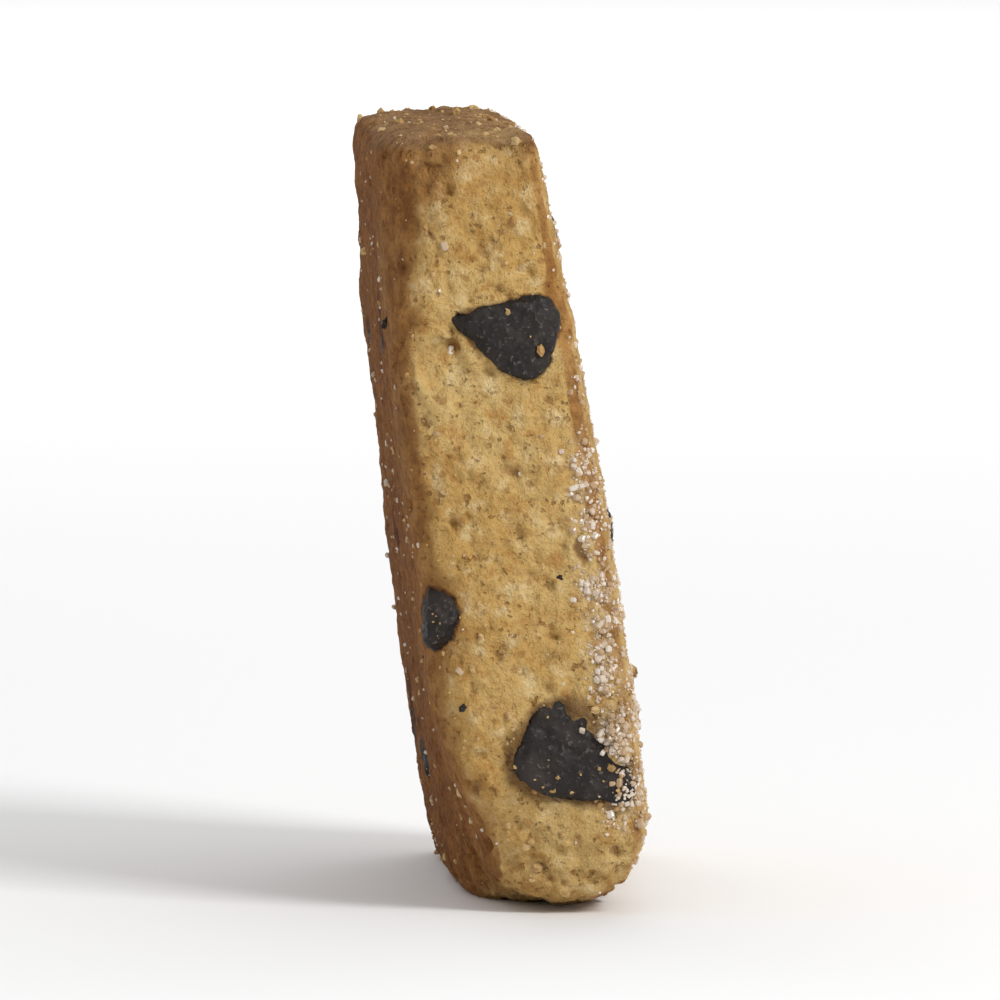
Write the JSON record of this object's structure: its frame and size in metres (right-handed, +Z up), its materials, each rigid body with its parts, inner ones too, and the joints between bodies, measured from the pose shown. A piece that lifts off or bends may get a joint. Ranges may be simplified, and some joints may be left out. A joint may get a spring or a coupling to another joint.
{
  "type": "chocolate chip cookie",
  "caption": "Thick square chocolate chip cookie standing on a cut edge, golden crumb with sugared rims and dark chips set flush in it.",
  "frame": {"origin": "under the middle of the cookie's box, on the surface that it stands on", "axes": "+Z up along the square's height, +X out of the sugared crown, -X out of the flat base, -Y out of the cut edge that the picture shows"},
  "size_m": [0.0198, 0.0522, 0.0553],
  "materials": {
    "baked_dough": "matte golden crumb, browner at the rims",
    "chocolate": "dull dark chocolate with a faint grey bloom",
    "sugar": "coarse white sugar crystals"
  },
  "bodies": {
    "root": {"chip_back_1": "chocolate", "chip_back_2": "chocolate", "chip_back_3": "chocolate", "chip_base_1": "chocolate", "chip_base_2": "chocolate", "chip_base_3": "chocolate", "chip_base_4": "chocolate", "chip_base_5": "chocolate", "chip_base_6": "chocolate", "chip_crown_1": "chocolate", "chip_crown_2": "chocolate", "chip_crown_3": "chocolate", "chip_crown_4": "chocolate", "chip_crown_5": "chocolate", "chip_crown_6": "chocolate", "chip_crown_7": "chocolate", "chip_front_1": "chocolate", "chip_front_2": "chocolate", "dough": "baked_dough"}
  },
  "joints": []
}
